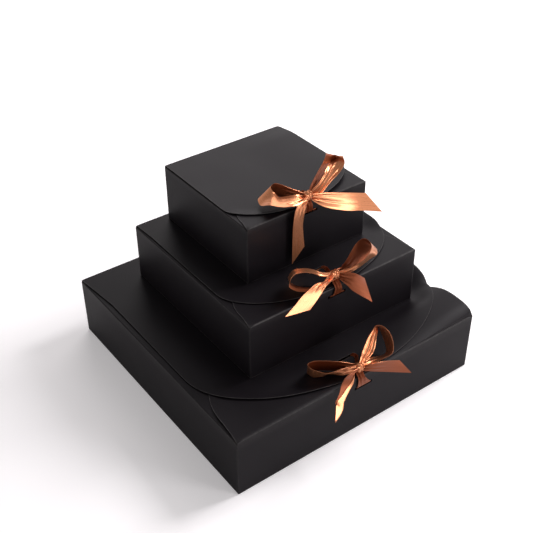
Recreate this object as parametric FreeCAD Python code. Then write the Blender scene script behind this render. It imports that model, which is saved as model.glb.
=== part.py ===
"""A stacked set of three square folding gift boxes, each tied shut with a satin ribbon bow.

Every box is one creased sheet of paperboard: a base panel, four walls with glued corner tabs,
two dust flaps hinged on the side walls, a front flap hinged on the front wall and a lid hinged
on the back wall.  A ribbon passes through slots in the lid, the front flap and the front wall
and is tied in a bow over the front top edge.

Millimetres.  +X is to the right as seen from the bows, +Y to the back, +Z up.  The origin is
the centre of the large box's underside.
"""
import FreeCAD, Part
from collections import namedtuple
import math
import os

Vector = FreeCAD.Vector

# ---- board and ribbon stock --------------------------------------------------------------
board = 0.5                   # thickness of the paperboard
layer_gap = 0.2               # air between the folded layers under a lid
ribbon_width = 18.0
ribbon_thickness = 0.4
ribbon_clearance = 0.25       # ribbon to the board it passes
tab_length = 24.0             # glued corner tabs, along the front and back walls
tab_headroom = 2.0            # tab top to the dust flap above it

# ---- slots for the ribbon ----------------------------------------------------------------
slot_height = 3.0
slot_end_room = 2.0           # slot beyond the ribbon at each end
slot_corner = 1.0             # radius in the slot's corners

# ---- the folds of a dust flap and a front flap --------------------------------------------
dust_end_room = 1.5           # dust flap to the front and back walls at its fold
flap_mid_room = 18.0          # front flap's tip to the middle of the box
flap_side_room = 0.6          # front flap to the box's sides at its fold
flap_side_taper = 3.0         # how far the front flap's straight ends lean in

# ---- large box ----------------------------------------------------------------------------
large_width = 300.0
large_depth = 300.0
large_height = 70.0
large_lid_inset = 4.0         # lid's sides to the side walls' outer faces, were it centred
large_lid_shift = 2.5         # how far its fold lets the lid sit to the right
large_lid_setback = 1.5       # lid's rounded front to the front wall's face
large_lid_straight = 213.0    # straight side of the lid, from the back fold
large_flap_straight = 24.0    # straight end of the front flap, from the front fold
large_dust_width = 84.0
large_wall_slot_drop = 13.0   # top of the box to the top of the slot in the front wall
large_lid_slot_back = 26.0    # front wall's face to the front of the slot in the lid

# ---- medium box ---------------------------------------------------------------------------
medium_width = 210.0
medium_depth = 210.0
medium_height = 65.0
medium_lid_inset = 2.5
medium_lid_shift = 0.5
medium_lid_setback = 1.5
medium_lid_straight = 149.0
medium_flap_straight = 17.0
medium_dust_width = 58.0
medium_wall_slot_drop = 9.0
medium_lid_slot_back = 31.0
medium_shift_x = 12.5         # centre of the medium box from the large box's centre
medium_shift_y = 14.5

# ---- small box ----------------------------------------------------------------------------
small_width = 148.0
small_depth = 148.0
small_height = 65.0
small_lid_inset = 0.8
small_lid_shift = 0.2
small_lid_setback = 1.5
small_lid_straight = 105.0
small_flap_straight = 12.0
small_dust_width = 40.0
small_wall_slot_drop = 8.5
small_lid_slot_back = 20.0
small_shift_x = 18.0          # centre of the small box from the large box's centre
small_shift_y = 37.0

# ---- bows ---------------------------------------------------------------------------------
knot_length = 9.0             # along the front top edge
knot_round = 2.4
knot_roll = 0.6               # how far the knot stands past the gathered ribbon inside it
knot_clearance = 0.1          # knot to the strap under it
gathered = 0.44               # share of the ribbon's width that is left where the knot grips it

# A run of ribbon leaves the knot's left or right end, and a loop comes back to the same end.
# Its grips give where that is, in Y and Z from the knot's middle, and the direction across the
# ribbon.  Its stations give the middle of the ribbon, in X, Y and Z from the middle of the box's
# front top edge, the direction across it, and the share of its width that is spread there,
# which is more than one where its end is cut on the slant.
Run = namedtuple("Run", "side start stations end")

large_knot = (-5.0, 3.0, 9.5)
large_bow = {
    "left_loop": Run("left", (2.6, 0.0, (0, 0, -1)), [
        (-19.0, 13.0, 10.5, (2, 2, -10), 0.9),
        (-30.0, 22.0, 10.8, (2, 2, -9), 1.0),
        (-39.5, 28.5, 10.8, (2, 2, -9), 1.0),
        (-46.5, 30.0, 10.5, (2, 3, -9), 1.0),
        (-47.0, 22.5, 10.5, (3, 2, -9), 1.0),
        (-41.5, 17.0, 10.0, (5, 3, -9), 1.0),
        (-34.0, 12.5, 9.5, (6, 5, -8), 0.95),
        (-22.0, 7.0, 9.0, (3, 2, -9), 0.8),
    ], (0.2, 0.0, (0, 0, -1))),
    "right_loop": Run("right", (0.5, 2.4, (0, 9, -3)), [
        (11.5, 10.0, 14.5, (0, 9, -4), 0.85),
        (20.0, 14.5, 20.0, (2, 9, -4), 1.0),
        (27.5, 19.5, 25.0, (4, 8, -5), 1.0),
        (32.0, 22.0, 29.0, (5, 6, -6), 1.0),
        (35.0, 16.5, 28.0, (3, 5, -8), 1.0),
        (36.5, 10.5, 22.0, (1, 5, -8), 1.0),
        (35.0, 4.0, 15.0, (1, 6, -8), 1.0),
        (31.0, 0.5, 9.5, (2, 7, -6), 1.0),
        (23.0, 2.5, 7.0, (4, 7, -5), 0.95),
        (12.0, 5.0, 6.5, (3, 8, -2), 0.8),
    ], (0.5, -1.5, (0, 9, 0))),
    "left_tail": Run("left", (-2.6, 0.8, (0, 2, -5)), [
        (-20.5, -3.0, 12.0, (9, 1, -4), 0.6),
        (-27.0, -6.0, 7.5, (9, 1, -5), 0.85),
        (-31.5, -7.0, -2.0, (9, 2, -4), 1.0),
        (-34.5, -6.0, -15.0, (8, 2, -6), 1.0),
        (-36.5, -5.5, -25.0, (7, 3, -6), 1.0),
        (-38.5, -5.5, -36.5, (5, 3, -10), 1.2),
    ], None),
    "right_tail": Run("right", (-4.1, 0.0, (0, 1, -9)), [
        (5.0, -5.5, 9.5, (2, 2, -9), 0.8),
        (19.5, -9.0, 5.5, (2, 1, -9), 1.0),
        (43.5, -12.0, -5.5, (6, -2, -9), 1.4),
    ], None),
}
medium_knot = (0.0, 4.5, 10.5)
medium_bow = {
    "left_loop": Run("left", (0.5, 2.0, (0, 9, -1)), [
        (-14.5, 12.0, 14.0, (6, 8, -2), 0.85),
        (-25.0, 18.5, 18.0, (5, 8, -4), 1.0),
        (-33.5, 20.5, 19.0, (5, 8, -4), 1.0),
        (-42.5, 18.0, 17.5, (5, 8, -4), 1.0),
        (-47.0, 16.5, 14.0, (6, 7, -4), 1.0),
        (-43.0, 13.0, 10.0, (7, 6, -3), 1.0),
        (-36.0, 6.5, 8.0, (7, 6, -3), 1.0),
        (-26.5, 2.0, 7.5, (6, 8, -2), 0.85),
        (-14.0, 3.0, 8.5, (5, 8, -1), 0.6),
    ], (-0.3, -1.8, (0, 9, -1))),
    "right_loop": Run("right", (2.2, -0.5, (0, -2, -7)), [
        (13.5, 7.0, 9.5, (6, -2, -7), 0.55),
        (21.0, 6.0, 12.5, (7, -2, -7), 0.85),
        (30.5, 7.5, 17.5, (6, -3, -7), 1.0),
        (40.5, 10.0, 22.5, (6, -4, -6), 1.0),
        (46.5, 9.0, 26.0, (6, -2, -7), 1.0),
        (46.0, 2.0, 27.0, (6, 0, -8), 1.0),
        (41.5, -4.5, 25.5, (6, 2, -8), 1.0),
        (32.5, -5.5, 21.0, (7, 4, -6), 1.0),
        (23.0, -3.5, 16.0, (6, 4, -7), 0.85),
        (13.0, -1.0, 13.0, (4, 2, -8), 0.55),
    ], (-1.5, 0.5, (0, 2, -8))),
    "left_tail": Run("left", (-1.0, 3.9, (0, -9, 1)), [
        (-15.5, -3.0, 14.0, (9, 1, -2), 0.5),
        (-29.0, -8.0, 13.5, (9, 0, -5), 0.85),
        (-43.5, -12.0, 11.0, (8, -3, -5), 1.0),
        (-59.5, -14.0, 3.5, (10, -2, 0), 1.5),
    ], None),
    "right_tail": Run("right", (-4.0, -0.5, (0, 0, -1)), [
        (9.5, -7.0, 7.5, (-3, 0, -9), 0.8),
        (14.5, -10.5, 3.0, (-3, -1, -9), 1.0),
        (28.5, -14.0, -10.0, (0, -5, -8), 1.4),
    ], None),
}
small_knot = (-1.0, 1.0, 8.5)
small_bow = {
    "left_loop": Run("left", (2.4, 0.0, (0, 3, -9)), [
        (-13.0, 10.0, 11.0, (1, 4, -9), 0.8),
        (-21.5, 18.5, 13.5, (0, 4, -9), 1.0),
        (-27.5, 25.0, 14.0, (-2, 4, -8), 1.0),
        (-34.5, 25.5, 12.5, (-5, 4, -7), 1.0),
        (-36.5, 18.0, 10.5, (-3, 5, -8), 1.0),
        (-33.0, 8.0, 9.5, (1, 6, -8), 1.0),
        (-27.0, 0.0, 9.0, (3, 6, -6), 0.9),
        (-17.0, -1.5, 8.5, (3, 4, -8), 0.7),
    ], (-0.4, 0.0, (0, 3, -9))),
    "right_loop": Run("right", (2.2, -0.7, (0, 1, -9)), [
        (11.0, 5.5, 12.5, (7, 2, -7), 0.7),
        (21.0, 8.0, 19.5, (7, 3, -6), 1.0),
        (30.5, 11.0, 25.0, (8, 3, -6), 1.0),
        (37.0, 14.0, 30.0, (7, 4, -6), 1.0),
        (42.5, 13.5, 32.0, (6, 6, -6), 1.0),
        (45.0, 8.5, 30.5, (5, 7, -6), 1.0),
        (41.0, 4.0, 27.5, (4, 8, -6), 1.0),
        (35.0, 1.5, 25.0, (3, 8, -5), 0.95),
        (27.0, -0.5, 21.0, (2, 8, -5), 0.9),
        (16.5, -2.5, 16.5, (1, 8, -5), 0.65),
    ], (-2.4, 3.6, (0, 8, -1))),
    "left_tail": Run("left", (-3.7, -0.7, (0, 0, -1)), [
        (-10.5, -4.5, 5.5, (7, 0, -7), 0.6),
        (-14.5, -5.5, 0.0, (8, 1, -6), 0.85),
        (-17.0, -5.5, -12.5, (8, 2, -6), 1.0),
        (-16.5, -5.0, -30.0, (8, 1, -6), 1.0),
        (-17.0, -5.5, -49.0, (4, -4, 8), 1.2),
    ], None),
    "right_tail": Run("right", (-3.9, -0.5, (0, 1, -9)), [
        (14.5, -7.0, 2.5, (0, 0, -1), 0.85),
        (32.0, -12.0, -3.5, (-2, -4, -9), 1.0),
        (69.5, -18.0, -15.5, (5, -7, -7), 1.4),
    ], None),
}

sections_between = 2          # sections of a ribbon from one station to the next


def export(node, shape):
    """Write one node's solid or solids."""
    shape.exportStep("parts/%s.step" % node)


def block(x0, x1, y0, y1, z0, z1):
    """A plain panel between two opposite corners."""
    return Part.makeBox(x1 - x0, y1 - y0, z1 - z0, Vector(x0, y0, z0))


def panel(edges, bottom, thickness):
    """A flat panel: the closed outline made by edges in the XY plane, raised to its height."""
    face = Part.Face(Part.Wire(edges))
    solid = face.extrude(Vector(0, 0, thickness))
    solid.translate(Vector(0, 0, bottom))
    return solid


def line(start, end):
    return Part.LineSegment(Vector(*start, 0), Vector(*end, 0)).toShape()


def half_ellipse(centre_x, base_y, reach_x, reach_y):
    """Half an ellipse from the +X side round to the -X side, bulging along reach_y."""
    side = 1 if reach_y > 0 else -1
    wide = abs(reach_x) >= abs(reach_y)
    across = Vector(centre_x + reach_x, base_y, 0)
    along = Vector(centre_x, base_y + reach_y, 0)
    centre = Vector(centre_x, base_y, 0)
    major, minor = (across, along) if wide else (along, across)
    ellipse = Part.Ellipse(major, minor, centre)
    start = ellipse.parameter(across)
    end = ellipse.parameter(Vector(centre_x - reach_x, base_y, 0))
    tip = ellipse.parameter(along)
    if not min(start, end) < tip < max(start, end):
        start, end = (start, end + 2 * math.pi) if start > end or side < 0 else (start + 2 * math.pi, end)
    low, high = min(start, end), max(start, end)
    if not low < tip < high:
        tip += 2 * math.pi
    if not low < tip < high:
        low, high = high, low + 2 * math.pi
    return ellipse.toShape(low, high)


def slot_block(centre, size_x, size_y, size_z, axis):
    """A slot's cutter: a block with rounded ends, its long side along X and its hole along axis."""
    x, y, z = centre
    cutter = block(x - size_x / 2, x + size_x / 2, y - size_y / 2, y + size_y / 2,
                   z - size_z / 2, z + size_z / 2)
    edges = [e for e in cutter.Edges if e.tangentAt(e.FirstParameter).cross(axis).Length < 1e-6]
    return cutter.makeFillet(slot_corner, edges)


def between(before, start, end, after, share):
    """A point or vector part of the way from start to end, on a smooth curve through both."""
    square, cube = share ** 2, share ** 3
    return (before * (-cube + 2 * square - share) + start * (3 * cube - 5 * square + 2)
            + end * (-3 * cube + 4 * square + share) + after * (cube - square)) * 0.5


def smooth(values):
    """Values with more put in between, along a smooth curve through all of them."""
    last = len(values) - 1
    result = []
    for i in range(last):
        before, after = values[max(i - 1, 0)], values[min(i + 2, last)]
        for step in range(sections_between):
            result.append(between(before, values[i], values[i + 1], after, step / sections_between))
    return result + [values[last]]


def band(middles, widths, leave=None, arrive=None):
    """A thin ribbon solid through rectangles, each with its middle and its width vector.

    leave and arrive set which way the ribbon runs at its ends, if not towards its neighbour.
    """
    last = len(middles) - 1
    wires = []
    for i, (middle, width) in enumerate(zip(middles, widths)):
        along = middles[min(i + 1, last)] - middles[max(i - 1, 0)]
        if i == 0 and leave:
            along = leave
        if i == last and arrive:
            along = arrive
        half, lift = width * 0.5, along.cross(width).normalize() * (ribbon_thickness / 2)
        corners = [middle - half - lift, middle + half - lift, middle + half + lift, middle - half + lift]
        wires.append(Part.makePolygon(corners + corners[:1]))
    return Part.makeLoft(wires, True, True)


def spread(vector, share):
    """The width vector of a ribbon that spreads a share of its width along a direction."""
    return Vector(*vector).normalize() * (ribbon_width * share)


def knot_solid(centre):
    """The knot: a short rounded roll lying along X, with flat ends."""
    size = gathered * ribbon_width + 2 * knot_roll
    corner = centre - Vector(knot_length, size, size) * 0.5
    roll = Part.makeBox(knot_length, size, size, corner)
    edges = [e for e in roll.Edges if abs(e.tangentAt(e.FirstParameter).x) > 0.5]
    return roll.makeFillet(knot_round, edges)


def ribbon_run(run, edge, knot):
    """A loop or a tail of a bow, from the knot's end and, for a loop, back to it."""
    outward = Vector(-1 if run.side == "left" else 1, 0, 0)
    face = knot + outward * (knot_length / 2)
    middles = [face + Vector(0, *run.start[:2])]
    widths = [spread(run.start[2], gathered)]
    for x, y, z, vector, share in run.stations:
        middles.append(edge + Vector(x, y, z))
        widths.append(spread(vector, share))
    if run.end:
        middles.append(face + Vector(0, *run.end[:2]))
        widths.append(spread(run.end[2], gathered))
    return band(smooth(middles), smooth(widths), outward, outward * -1 if run.end else None)


class Box:
    """One folding gift box with its ribbon."""

    def __init__(self, name, size, floor, shift, lid, flaps, slots, knot, runs):
        self.name = name
        self.width, self.depth, self.height = size
        self.floor = floor
        self.shift = shift
        self.lid_inset, self.lid_shift, self.lid_setback, self.lid_straight = lid
        self.flap_straight, self.dust_width = flaps
        self.wall_slot_drop, self.lid_slot_back = slots
        self.knot, self.runs = knot, runs
        shift_x, shift_y = shift
        self.left, self.right = shift_x - self.width / 2, shift_x + self.width / 2
        self.front, self.back = shift_y - self.depth / 2, shift_y + self.depth / 2
        self.top = floor + self.height
        self.lid_bottom = self.top - board
        self.flap_bottom = self.lid_bottom - layer_gap - board
        self.dust_bottom = self.flap_bottom - layer_gap - board
        self.slot_length = ribbon_width + 2 * slot_end_room
        self.edge_middle = Vector(shift_x, self.front, self.top)

    def put(self, piece, shape):
        export("%s_%s" % (self.name, piece), shape)

    def base(self):
        self.put("base_panel", block(self.left, self.right, self.front, self.back,
                                     self.floor, self.floor + board))

    def wall_slot_z(self):
        return self.top - self.wall_slot_drop - slot_height / 2

    def lid_slot_y(self):
        return self.front + self.lid_slot_back + slot_height / 2

    def walls(self):
        low = self.floor + board
        front = block(self.left, self.right, self.front, self.front + board, low, self.flap_bottom)
        slot = slot_block((self.shift[0], self.front + board / 2, self.wall_slot_z()),
                          self.slot_length, 4 * board, slot_height, Vector(0, 1, 0))
        self.put("front_wall", front.cut(slot))
        self.put("back_wall", block(self.left, self.right, self.back - board, self.back,
                                    low, self.lid_bottom))
        inner_front, inner_back = self.front + board, self.back - board
        self.put("left_wall", block(self.left, self.left + board, inner_front, inner_back,
                                    low, self.dust_bottom))
        self.put("right_wall", block(self.right - board, self.right, inner_front, inner_back,
                                     low, self.dust_bottom))

    def corner_tabs(self):
        """The side walls' glued tabs, flat against the inside of the front and back walls."""
        low, high = self.floor + board, self.dust_bottom - tab_headroom
        for end, y in (("front", self.front + board), ("back", self.back - 2 * board)):
            for side, x in (("left", self.left + board), ("right", self.right - board - tab_length)):
                self.put("%s_%s_tab" % (end, side), block(x, x + tab_length, y, y + board, low, high))

    def dust_flaps(self):
        """Side flaps that fold in first; their slanted ends let them open with the lid."""
        near, far = self.front + dust_end_room, self.back - dust_end_room
        reach = self.dust_width
        for side, fold, inward in (("left", self.left, 1), ("right", self.right, -1)):
            corners = [(fold, near), (fold + inward * reach, near + reach),
                       (fold + inward * reach, far - reach), (fold, far)]
            edges = [line(corners[i], corners[(i + 1) % 4]) for i in range(4)]
            self.put(side + "_dust_flap", panel(edges, self.dust_bottom, board))

    def front_flap(self):
        reach = self.depth / 2 - flap_mid_room
        fold_half = self.width / 2 - flap_side_room
        curve_half = fold_half - flap_side_taper
        middle, curve_y = self.shift[0], self.front + self.flap_straight
        edges = [line((middle - fold_half, self.front), (middle + fold_half, self.front)),
                 line((middle + fold_half, self.front), (middle + curve_half, curve_y)),
                 half_ellipse(middle, curve_y, curve_half, reach - self.flap_straight),
                 line((middle - curve_half, curve_y), (middle - fold_half, self.front))]
        flap = panel(edges, self.flap_bottom, board)
        self.put("front_flap", flap.cut(self.lid_slot(self.flap_bottom)))

    def lid_slot(self, bottom):
        return slot_block((self.shift[0], self.lid_slot_y(), bottom + board / 2),
                          self.slot_length, slot_height, 4 * board, Vector(0, 0, 1))

    def lid(self):
        half = self.width / 2 - self.lid_inset
        middle, curve_y = self.shift[0] + self.lid_shift, self.back - self.lid_straight
        reach = self.depth - self.lid_straight - self.lid_setback
        edges = [line((middle - half, self.back), (middle + half, self.back)),
                 line((middle + half, self.back), (middle + half, curve_y)),
                 half_ellipse(middle, curve_y, half, -reach),
                 line((middle - half, curve_y), (middle - half, self.back))]
        lid = panel(edges, self.lid_bottom, board)
        self.put("lid", lid.cut(self.lid_slot(self.lid_bottom)))

    def bow(self):
        knot = self.edge_middle + Vector(*self.knot)
        self.put("bow_knot", knot_solid(knot))
        self.put("strap", self.strap(knot))
        for piece, run in self.runs.items():
            self.put(piece, ribbon_run(run, self.edge_middle, knot))

    def strap(self, knot):
        """The ribbon from the lid's slot, under the knot and down to the slot in the front wall."""
        middle = self.shift[0]
        lift = ribbon_clearance + ribbon_thickness / 2
        halfway = (middle + knot.x) / 2
        under = knot.z - gathered * ribbon_width / 2 - knot_roll - knot_clearance - ribbon_thickness / 2
        run = [
            (Vector(middle, self.lid_slot_y(), self.lid_bottom), 1.0),
            (Vector(middle, self.lid_slot_y(), self.top + 2 * lift), 1.0),
            (Vector(halfway, (self.lid_slot_y() + knot.y) / 2, self.top + 3 * lift), 0.8),
            (Vector(knot.x, knot.y, under), gathered),
            (Vector(knot.x, self.front - 4 * lift, self.top + lift), gathered),
            (Vector(halfway, self.front - 3 * lift, self.top - self.wall_slot_drop / 2), 0.8),
            (Vector(middle, self.front - lift, self.wall_slot_z()), 1.0),
        ]
        return band([point for point, share in run], [spread((1, 0, 0), share) for point, share in run])

    def inner_run(self):
        """The ribbon inside the box, from the front wall's slot up to the front flap's slot."""
        middle, lift = self.shift[0], ribbon_clearance + ribbon_thickness / 2
        slot_y, slot_z = self.lid_slot_y(), self.wall_slot_z()
        run = [
            Vector(middle, self.front, slot_z),
            Vector(middle, self.front + board + lift, slot_z),
            Vector(middle, (self.front + slot_y) / 2, slot_z),
            Vector(middle, slot_y, self.dust_bottom - self.wall_slot_drop / 2),
            Vector(middle, slot_y, self.flap_bottom + board),
        ]
        self.put("inner_run", band(run, [Vector(ribbon_width, 0, 0)] * len(run)))

    def make(self):
        self.base()
        self.walls()
        self.corner_tabs()
        self.dust_flaps()
        self.front_flap()
        self.lid()
        self.inner_run()
        self.bow()


os.makedirs("parts", exist_ok=True)

boxes = [
    Box("large", (large_width, large_depth, large_height), 0.0, (0.0, 0.0),
        (large_lid_inset, large_lid_shift, large_lid_setback, large_lid_straight),
        (large_flap_straight, large_dust_width),
        (large_wall_slot_drop, large_lid_slot_back), large_knot, large_bow),
    Box("medium", (medium_width, medium_depth, medium_height), large_height,
        (medium_shift_x, medium_shift_y),
        (medium_lid_inset, medium_lid_shift, medium_lid_setback, medium_lid_straight),
        (medium_flap_straight, medium_dust_width),
        (medium_wall_slot_drop, medium_lid_slot_back), medium_knot, medium_bow),
    Box("small", (small_width, small_depth, small_height), large_height + medium_height,
        (small_shift_x, small_shift_y),
        (small_lid_inset, small_lid_shift, small_lid_setback, small_lid_straight),
        (small_flap_straight, small_dust_width),
        (small_wall_slot_drop, small_lid_slot_back), small_knot, small_bow),
]
for box in boxes:
    box.make()
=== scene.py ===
# %% [markdown]
# # A stack of three ribbon boxes
# Each box is one creased sheet of black paperboard: a tray, two dust flaps, a front flap and a
# lid with a rounded front.  A satin ribbon passes through slots in the lid, the flap and the
# front wall, and is tied in a bow over the front edge.  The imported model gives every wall, flap
# and joint its place.  Here each panel gets a soft crease and a cut edge, each ribbon its folds,
# and board and satin their finishes.

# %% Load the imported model
import bpy
import math
from collections import namedtuple
from mathutils import Matrix, Vector
from mathutils.geometry import delaunay_2d_cdt


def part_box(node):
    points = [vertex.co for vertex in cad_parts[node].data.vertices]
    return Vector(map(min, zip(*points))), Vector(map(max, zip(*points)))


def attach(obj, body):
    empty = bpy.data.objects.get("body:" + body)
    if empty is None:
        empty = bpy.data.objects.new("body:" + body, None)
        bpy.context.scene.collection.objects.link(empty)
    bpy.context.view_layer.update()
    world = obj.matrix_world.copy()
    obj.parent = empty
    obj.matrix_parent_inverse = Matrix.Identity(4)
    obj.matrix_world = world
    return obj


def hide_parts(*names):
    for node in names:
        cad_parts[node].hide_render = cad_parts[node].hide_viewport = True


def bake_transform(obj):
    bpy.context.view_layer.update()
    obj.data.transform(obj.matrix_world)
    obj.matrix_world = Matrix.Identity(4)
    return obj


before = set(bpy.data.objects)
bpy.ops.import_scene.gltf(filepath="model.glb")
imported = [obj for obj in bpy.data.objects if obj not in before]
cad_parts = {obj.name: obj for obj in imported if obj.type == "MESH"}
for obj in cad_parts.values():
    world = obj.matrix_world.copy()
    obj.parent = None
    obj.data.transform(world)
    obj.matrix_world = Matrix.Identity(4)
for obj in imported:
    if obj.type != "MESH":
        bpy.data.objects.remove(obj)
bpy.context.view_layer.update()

MM = 0.001                   # the drawing sizes below are in millimetres

# %% [markdown]
# ## What repeats from box to box
# The three boxes are one design at three sizes, so each is described by a few numbers and every
# helper takes a box.  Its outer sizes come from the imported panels, so they can't drift from it.

# %% Sizes of the three boxes
BOARD = 0.5                  # paperboard thickness
LAYER_GAP = 0.2              # air between two folded layers
FOLD_RADIUS = 1.1            # outer radius of a crease in the board
RIBBON_WIDTH = 18.0
SLOT_LENGTH = 22.0
SLOT_HEIGHT = 3.0


class Box:
    """One box: where it stands, and the sizes that its panels are cut to."""

    def __init__(self, name, lid_straight, wall_slot_drop, lid_slot_back, knot):
        self.name = name
        self.lid_straight = lid_straight
        self.wall_slot_drop, self.lid_slot_back = wall_slot_drop, lid_slot_back
        low, high = self.corners("base_panel")
        self.left, self.front, self.floor = low.x, low.y, low.z
        self.right, self.back = high.x, high.y
        self.top = self.corners("lid")[1].z
        self.middle = (self.left + self.right) / 2
        self.lid_bottom = self.top - BOARD
        self.flap_bottom = self.lid_bottom - LAYER_GAP - BOARD
        self.dust_bottom = self.flap_bottom - LAYER_GAP - BOARD
        self.edge = Vector((self.middle, self.front, self.top))
        self.knot = self.edge + Vector(knot)

    def node(self, piece):
        return "%s_%s" % (self.name, piece)

    def corners(self, piece):
        low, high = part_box(self.node(piece))
        return Vector(low) / MM, Vector(high) / MM


large = Box("large", 207.0, 13.0, 26.0, (-5.0, 3.0, 9.5))
medium = Box("medium", 149.0, 9.0, 31.0, (0.0, 4.5, 10.5))
small = Box("small", 105.0, 8.5, 20.0, (-1.0, 1.0, 8.5))
BOXES = (large, medium, small)
for box in BOXES:
    print(box.name, round(box.right - box.left), "mm across, its top at", round(box.top), "mm")

# %% [markdown]
# ## Finishes as shared effects
# Board and satin both need fine grain.  A shader node group holds such an effect once, with its
# strengths as inputs, so that each material places it with its own values.

# %% Helpers for node groups and materials
def new_group(name, inputs, outputs):
    """An empty shader node group: its inputs are labels with values, its outputs are labels."""
    group = bpy.data.node_groups.new(name, "ShaderNodeTree")
    for label, value in inputs.items():
        socket = group.interface.new_socket(label, in_out="INPUT", socket_type="NodeSocketFloat")
        socket.default_value = value
    for label in outputs:
        group.interface.new_socket(label, in_out="OUTPUT", socket_type="NodeSocketFloat")
    return group, group.nodes.new("NodeGroupInput"), group.nodes.new("NodeGroupOutput")


def set_inputs(tree, node, inputs):
    """Gives a node's inputs, by name or number, their values or their links."""
    for key, value in inputs.items():
        if isinstance(value, bpy.types.NodeSocket):
            tree.links.new(value, node.inputs[key])
        else:
            node.inputs[key].default_value = value


def add(tree, kind, inputs, **settings):
    """A node with its inputs and properties set."""
    node = tree.nodes.new(kind)
    for key, value in settings.items():
        setattr(node, key, value)
    set_inputs(tree, node, inputs)
    return node


def math_node(tree, operation, first, second=0.0, clamp=False):
    return add(tree, "ShaderNodeMath", {0: first, 1: second}, operation=operation,
               use_clamp=clamp).outputs[0]


def map_range(tree, value, low, high, start=0.0, end=1.0):
    """A number that goes from low to high while a value goes from start to end."""
    return add(tree, "ShaderNodeMapRange",
               {"Value": value, 1: start, 2: end, 3: low, 4: high}).outputs[0]


def noise(tree, place, scale, detail, roughness=0.5):
    """A number from 0 to 1 that changes at random from place to place."""
    return add(tree, "ShaderNodeTexNoise", {"Vector": place, "Scale": scale, "Detail": detail,
                                            "Roughness": roughness}).outputs["Fac"]


def mix(tree, factor, first, second, kind="FLOAT"):
    """From the first to the second as the factor goes from 0 to 1.  RGBA mixes colours."""
    start, result = (6, 2) if kind == "RGBA" else (2, 0)
    return add(tree, "ShaderNodeMix", {"Factor": factor, start: first, start + 1: second},
               data_type=kind).outputs[result]


def two_tones(tree, value, places, tones):
    """A colour that goes from one tone to another while a value goes from place to place."""
    node = add(tree, "ShaderNodeValToRGB", {"Fac": value})
    for element, place, tone in zip(node.color_ramp.elements, places, tones):
        element.position, element.color = place, (*tone, 1.0)
    return node.outputs["Color"]


def principled(name):
    """A fresh material, its node tree and its Principled shader."""
    material = bpy.data.materials.new(name)
    material.use_nodes = True
    shader = material.node_tree.nodes["Principled BSDF"]
    return material, material.node_tree, shader

# %% [markdown]
# ## Worn and highlighted creases and cut edges
# Black board is dyed through but scuffs a little paler where it is creased or cut, and a crease
# or a cut edge also catches the light: the pale line here is partly that wear and partly a painted
# highlight.  Each board mesh carries a number, edge_wear_and_highlight, that is 1 on a cut edge,
# up to 1 on a crease and 0 on the flat.  The group breaks it up with noise, so that the pale line
# comes and goes as it does on real board.

# %% The edge wear and painted highlight group
edge_wear_and_highlight, start, end = new_group(
    "Board edge wear and highlight", {"Strength": 1.0, "Grain scale": 220.0}, ["Mask"])
wear_and_highlight = add(edge_wear_and_highlight, "ShaderNodeAttribute", {}, attribute_name="edge_wear_and_highlight").outputs["Fac"]
place = add(edge_wear_and_highlight, "ShaderNodeTexCoord", {}).outputs["Object"]
patches = noise(edge_wear_and_highlight, place, start.outputs["Grain scale"], 3.0)
uneven = add(edge_wear_and_highlight, "ShaderNodeMath", {0: patches, 1: 1.2, 2: 0.1},
             operation="MULTIPLY_ADD").outputs[0]
broken = math_node(edge_wear_and_highlight, "MULTIPLY", wear_and_highlight, uneven, clamp=True)
shown = math_node(edge_wear_and_highlight, "MULTIPLY", broken, start.outputs["Strength"], clamp=True)
set_inputs(edge_wear_and_highlight, end, {"Mask": shown})
print(edge_wear_and_highlight.name, "has", len(edge_wear_and_highlight.nodes), "nodes")

# %% [markdown]
# ## Fine grain
# Uncoated board has a faint felt-like tooth and slow, cloudy changes of gloss from handling.
# One group gives both: a fine height for the bump and a cloud value for the roughness.

# %% The paper grain group
paper_grain, start, end = new_group(
    "Paper grain", {"Tooth scale": 1500.0, "Cloud scale": 18.0}, ["Tooth", "Cloud"])
place = add(paper_grain, "ShaderNodeTexCoord", {}).outputs["Object"]
tooth = noise(paper_grain, place, start.outputs["Tooth scale"], 4.0, 0.6)
cloud = noise(paper_grain, place, start.outputs["Cloud scale"], 3.0, 0.55)
set_inputs(paper_grain, end, {"Tooth": tooth, "Cloud": cloud})
print(paper_grain.name, "has", len(paper_grain.nodes), "nodes")

# %% [markdown]
# ## Black paperboard
# The board is matt but not dead: its smooth black surface has a soft sheen that picks up the
# pale table on the walls and the room on the lids.  A dark base with a middling roughness gives
# that.  The pale lines on creases and cut edges, scuffs and a painted highlight in one, come from
# the wear group, mixed in over the base colour.

# %% The board material
BOARD_TONES = ((0.0046, 0.0032, 0.0047), (0.0060, 0.0045, 0.0061))
# A pale scuffed tone, also used as a painted highlight on creases and cut edges.
SCUFF_AND_HIGHLIGHT_TONE = (0.10, 0.095, 0.093)


def black_board():
    material, tree, shader = principled("black paperboard")
    grain = add(tree, "ShaderNodeGroup", {}, node_tree=paper_grain)
    worn_and_highlit = add(tree, "ShaderNodeGroup", {"Strength": 0.75}, node_tree=edge_wear_and_highlight)
    cloud = grain.outputs["Cloud"]
    bump = add(tree, "ShaderNodeBump", {
        "Strength": 0.12, "Distance": 0.0002, "Height": grain.outputs["Tooth"]})
    set_inputs(tree, shader, {
        "Base Color": mix(tree, worn_and_highlit.outputs["Mask"],
                          two_tones(tree, cloud, (0.3, 0.7), BOARD_TONES),
                          (*SCUFF_AND_HIGHLIGHT_TONE, 1.0), "RGBA"),
        "Roughness": map_range(tree, cloud, 0.48, 0.56),
        "Specular IOR Level": 0.145,
        "Normal": bump.outputs[0]})
    return material


board = black_board()
print(board.name, "has", len(board.node_tree.nodes), "nodes")
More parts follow.
